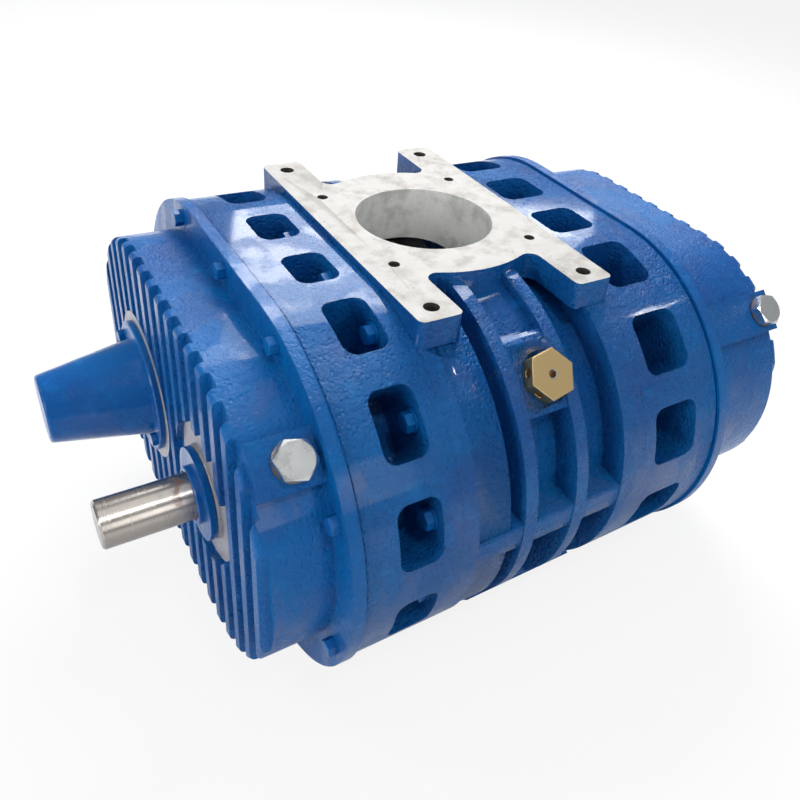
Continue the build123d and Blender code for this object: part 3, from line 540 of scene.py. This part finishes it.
# %% One chamfered hexagon screw
def hexagon_screw(name, flats, head, shank_radius, shank_length, facing=1):
    """Screw along X with its head's seat at the origin. Facing is 1 for a head towards +X."""
    mesh = bpy.data.meshes.new(name)
    work = bmesh.new()
    steps, sixth, chamfer = 24, math.pi / 3, math.radians(30)
    face_share = 0.475
    face_radius = flats * face_share
    angles = [2 * math.pi * i / steps for i in range(steps)]
    corner = [flats / 2 / math.cos((a + sixth / 2) % sixth - sixth / 2) for a in angles]
    rings = [[(head, face_radius)] * steps,
             [(head - (r - face_radius) * math.tan(chamfer), r) for r in corner],
             [(0, r) for r in corner],
             [(0, shank_radius)] * steps,
             [(-shank_length, shank_radius)] * steps]
    rows = [[work.verts.new((facing * x, facing * r * math.cos(a), r * math.sin(a)))
             for (x, r), a in zip(ring, angles)] for ring in rings]
    work.faces.new(rows[0])
    for upper, lower in zip(rows, rows[1:]):
        for i in range(steps):
            j = (i + 1) % steps
            work.faces.new((upper[i], lower[i], lower[j], upper[j]))
    work.faces.new(list(reversed(rows[-1])))
    bmesh.ops.recalc_face_normals(work, faces=work.faces)
    work.to_mesh(mesh)
    work.free()
    return bpy.data.objects.new(name, mesh)


# %% [markdown]
# The screws' places aren't written down again here. A piece such as the ten cover bolts is one
# mesh of ten loose solids, so walking from corner to corner finds each bolt and its box.


# %% Where the model has its bolts
def loose_solids(node):
    """Lowest and highest corner of each separate solid in a piece's mesh."""
    work = bmesh.new()
    work.from_mesh(nodes[node].data)
    bmesh.ops.remove_doubles(work, verts=work.verts, dist=weld)
    found, met = [], set()
    for start in work.verts:
        if start in met:
            continue
        met.add(start)
        group, waiting = [], [start]
        while waiting:
            vert = waiting.pop()
            group.append(vert.co.copy())
            fresh = {edge.other_vert(vert) for edge in vert.link_edges} - met
            met |= fresh
            waiting += fresh
        found.append((Vector(map(min, zip(*group))), Vector(map(max, zip(*group)))))
    work.free()
    return found


print("bolts in the drive cover:", len(loose_solids("drive_cover_bolts")))

# %% [markdown]
# Geometry Nodes put the screw at every place, each turned by its own random angle, as a fitter
# leaves them. The tree's inputs are the places, the screw to repeat, how far it may be turned,
# the seed and the finish. It ends in real mesh, because instances wouldn't survive an export.


# %% A Geometry Nodes tree that sets screws at points
def screw_tree():
    tree = bpy.data.node_groups.new("screws_at_points", "GeometryNodeTree")
    inputs = {}
    for label, kind in (("Places", "Geometry"), ("Screw", "Object"), ("Turn", "Float"), ("Seed", "Int"),
                        ("Finish", "Material")):
        inputs[label] = tree.interface.new_socket(label, in_out="INPUT", socket_type="NodeSocket" + kind)
    tree.interface.new_socket("Screws", in_out="OUTPUT", socket_type="NodeSocketGeometry")
    kinds = {"start": "NodeGroupInput", "screw": "GeometryNodeObjectInfo", "angle": "FunctionNodeRandomValue",
             "spin": "ShaderNodeCombineXYZ", "set": "GeometryNodeInstanceOnPoints",
             "real": "GeometryNodeRealizeInstances", "paint": "GeometryNodeSetMaterial",
             "end": "NodeGroupOutput"}
    made = {label: tree.nodes.new(kind) for label, kind in kinds.items()}
    made["angle"].data_type = "FLOAT"

    def live(sockets, name):
        """The socket of that name that the node's settings leave switched on."""
        return next(s for s in sockets if s.name == name and s.enabled)

    for source, output, target, entry in (
            ("start", "Screw", "screw", "Object"), ("start", "Turn", "angle", "Max"),
            ("start", "Seed", "angle", "Seed"), ("angle", "Value", "spin", "X"),
            ("start", "Places", "set", "Points"), ("screw", "Geometry", "set", "Instance"),
            ("spin", "Vector", "set", "Rotation"), ("set", "Instances", "real", "Geometry"),
            ("real", "Geometry", "paint", "Geometry"), ("start", "Finish", "paint", "Material"),
            ("paint", "Geometry", "end", "Screws")):
        tree.links.new(live(made[source].outputs, output), live(made[target].inputs, entry))
    return tree, inputs


screws, screw_inputs = screw_tree()
print("inputs of the screw tree:", list(screw_inputs))

# %% [markdown]
# Each piece of bolts is replaced by its chamfered screws at the same places. A size is the width
# across flats, the height of the head and the radius of the thread.


# %% Set the outside screws
def set_screws(node, flats, head, radius, facing, seed):
    """Replaces a piece's plain screws by chamfered ones, and says how many there are."""
    solids = loose_solids(node)
    seats = [(high.x - head if facing > 0 else low.x + head, (low.y + high.y) / 2, (low.z + high.z) / 2)
             for low, high in solids]
    low, high = solids[0]
    screw = hexagon_screw(node + "_one", flats, head, radius, high.x - low.x - head, facing)
    points = bpy.data.meshes.new(node + "_points")
    points.from_pydata(seats, [], [])
    holder = bpy.data.objects.new(node + "_holder", points)
    bpy.context.scene.collection.objects.link(holder)
    modifier = holder.modifiers.new("screws", "NODES")
    modifier.node_group = screws
    for label, value in (("Screw", screw), ("Turn", math.pi / 3), ("Seed", seed), ("Finish", bolt_enamel)):
        modifier[screw_inputs[label].identifier] = value
    ready = holder.evaluated_get(bpy.context.evaluated_depsgraph_get())
    mesh = bpy.data.meshes.new_from_object(ready)
    bpy.data.objects.remove(holder)
    bpy.data.objects.remove(screw)
    mesh.shade_smooth()
    mesh.set_sharp_from_angle(angle=math.radians(25))
    piece = bpy.data.objects.new(node + "_chamfered", mesh)
    bpy.context.scene.collection.objects.link(piece)
    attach(piece, "pump_body")
    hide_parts(node)
    return len(seats)


m8, m10, m12 = (0.013, 0.006, 0.004), (0.016, 0.009, 0.005), (0.018, 0.008, 0.006)
for node, size, facing, seed in (("drive_cover_bolts", m10, -1, 3), ("gear_cover_bolts", m10, 1, 5),
                                 ("drive_plate_bolts", m12, -1, 7), ("gear_plate_bolts", m12, 1, 11),
                                 ("cone_cap_bolts", m8, -1, 13)):
    print(node, "set:", set_screws(node, *size, facing, seed))

# %% [markdown]
# The four oil plugs are bright plated hexagons that point out at 45 degrees. Each is one screw
# turned to its own boss. Where its head ends is measured from the model's own plug.

# %% Oil plugs
plug_flats, plug_head, plug_thread = 0.034, 0.012, 0.013


def oil_plug(node, axis_y, up):
    """One plug, pointing away from a shaft's axis, and the radius at which its head ends."""
    outward = Vector((0, math.copysign(1, axis_y), up)).normalized()
    origin = Vector((0, axis_y, axis_z))
    reach = [(v.co - origin).dot(outward) for v in nodes[node].data.vertices]
    low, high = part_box(node)
    shank = max(reach) - min(reach) - plug_head
    piece = hexagon_screw(node + "_plated", plug_flats, plug_head, plug_thread, shank)
    across = Vector((1, 0, 0))
    turn = Matrix((outward, across, outward.cross(across))).transposed().to_4x4()
    seat = origin + outward * (max(reach) - plug_head) + Vector(((low.x + high.x) / 2, 0, 0))
    piece.data.transform(Matrix.Translation(seat) @ turn @ Matrix.Rotation(math.radians(15), 4, "X"))
    piece.data.shade_smooth()
    piece.data.set_sharp_from_angle(angle=math.radians(25))
    piece.data.materials.append(zinc)
    bpy.context.scene.collection.objects.link(piece)
    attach(piece, "pump_body")
    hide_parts(node)
    return max(reach)


for node, axis_y, up in (("drive_filler_plug", drive_axis_y, 1), ("drive_drain_plug", driven_axis_y, -1),
                         ("gear_filler_plug", drive_axis_y, 1), ("gear_drain_plug", driven_axis_y, -1)):
    print(node, "ends at radius", round(oil_plug(node, axis_y, up), 4))

# %% [markdown]
# The pump stands on a pale floor that curves up at the far side, so the camera sees no horizon.
# Seen from behind, the floor simply ends. The camera sees the floor nearly white, while the light
# it gives the pump stays that of plain pale paint, and a small share of the white goes to
# reflections too.


# %% Floor and backdrop
def backdrop_sheet(width, depth, height, bend):
    """A floor that curves up into a wall at the far side."""
    steps = 24
    profile = [(-depth, port_bottom)]
    for i in range(steps + 1):
        turn = math.pi / 2 * i / steps
        profile.append((depth - bend + bend * math.sin(turn), port_bottom + bend - bend * math.cos(turn)))
    profile.append((depth, port_bottom + height))
    mesh = bpy.data.meshes.new("pale_floor")
    corners = [(side * width, along, up) for along, up in profile for side in (-1, 1)]
    faces = [(2 * i, 2 * i + 1, 2 * i + 3, 2 * i + 2) for i in range(len(profile) - 1)]
    mesh.from_pydata(corners, [], faces)
    mesh.shade_smooth()
    return bpy.data.objects.new("pale_floor", mesh)


floor = backdrop_sheet(width=14, depth=14, height=12, bend=5)
bpy.context.scene.collection.objects.link(floor)
pale = Finish("pale_floor", (0.80, 0.80, 0.80), 0.7)
pale.set("Specular IOR Level", 0.1)
pale.bump(pale.noise(3.0, 2), 0.0001)
pale.done()
seen_share, reflected_share = 0.86, 0.1
rays = pale.node("ShaderNodeLightPath", output="Is Camera Ray")
reflected = rays.beside("Is Glossy Ray") + rays.beside("Is Transmission Ray")
white = pale.node("ShaderNodeEmission", None, {"Color": (1, 1, 1, 1), "Strength": 1.0})
mixed = pale.node("ShaderNodeMixShader", None, {0: rays * seen_share + reflected * reflected_share,
                                                1: Value(pale, pale.shader.outputs[0]), 2: white})
pale.join(pale.tree.nodes["Material Output"].inputs["Surface"], mixed)
floor.data.materials.append(pale.material)
print("floor at", round(port_bottom, 4), "with", len(floor.data.polygons), "faces")

# %% [markdown]
# The sky lights the pump evenly and weakly, but the camera must see it white. One strength can't
# do both, so the kind of ray chooses: full white for the camera, a small share of the way for
# reflections, and the weak light for everything else.

# %% Sky
sky = bpy.data.worlds.new("pale_sky")
bpy.context.scene.world = sky
sky.use_nodes = True
background = sky.node_tree.nodes["Background"]
air = Shading(sky.node_tree)
air.join(background.inputs["Color"], (0.90, 0.95, 1.0, 1))
sky_light, seen_white = 0.3, 1.05
rays = air.node("ShaderNodeLightPath", output="Is Camera Ray")
reflected = rays.beside("Is Glossy Ray") + rays.beside("Is Transmission Ray")
level = air.node("ShaderNodeMapRange", None, {"Value": rays + reflected * reflected_share,
                                              "To Min": sky_light, "To Max": seen_white}, "Result")
air.join(background.inputs["Strength"], level)
print("sky:", sky_light, "as light and", seen_white, "to the camera")

# %% [markdown]
# A broad bright panel behind the pump, like a window, puts the highlights on its upper faces.
# Three weaker ones fill the rest, and three small ones make the glints on the grit and on the
# painted edges. A small lamp gives a hard glint, and a large one a soft band.


# %% Lamps
def panel(name, place, size, watts, colour=(1, 1, 1)):
    """A square area lamp that faces the middle of the pump."""
    lamp = bpy.data.lights.new(name, "AREA")
    lamp.shape, lamp.size, lamp.energy, lamp.color = "SQUARE", size, watts, colour
    stand = bpy.data.objects.new(name, lamp)
    stand.location = place
    stand.rotation_euler = (Vector((0, 0, axis_z)) - Vector(place)).to_track_quat("-Z", "Y").to_euler()
    bpy.context.scene.collection.objects.link(stand)


panel("window_behind", (1.15, 1.85, 2.2), 1.7, 120, (0.97, 0.98, 1.0))
panel("overhead_panel", (0.0, -0.2, 2.8), 1.6, 8)
panel("left_panel", (-2.6, -0.6, 1.0), 1.2, 26)
panel("front_panel", (0.4, -2.8, 1.3), 1.2, 13)
glint_size = 0.14
panel("glint_above", (-0.2, -1.3, 2.3), glint_size, 9)
panel("glint_right", (1.7, -0.7, 1.9), glint_size, 3)
panel("glint_left", (-1.7, 0.9, 1.9), glint_size, 9)

# %% [markdown]
# The camera looks down on the pump's driven end from about 33 degrees above the floor, far
# enough to one side to show the long flank and the open port together.

# %% Camera
lens = bpy.data.cameras.new("camera")
lens.sensor_width, lens.lens = 36, 35.96
lens.shift_x, lens.shift_y = -0.0991, -0.0810
camera = bpy.data.objects.new("camera", lens)
right = Vector((0.8263, -0.5510, 0.1172))
down = Vector((-0.2209, -0.5082, -0.8324))
ahead = Vector((0.5182, 0.6619, -0.5416))
turn = Matrix((right, -down, -ahead)).transposed().to_4x4()
camera.matrix_world = Matrix.Translation((-0.4435, -0.6953, 0.7997)) @ turn
bpy.context.scene.collection.objects.link(camera)
bpy.context.scene.camera = camera
print("camera looks down at", round(math.degrees(math.asin(-ahead.z))), "degrees")

# %% [markdown]
# Standard colour management shows a colour about as it is written.

# %% Colour management
bpy.context.scene.view_settings.view_transform = "Standard"
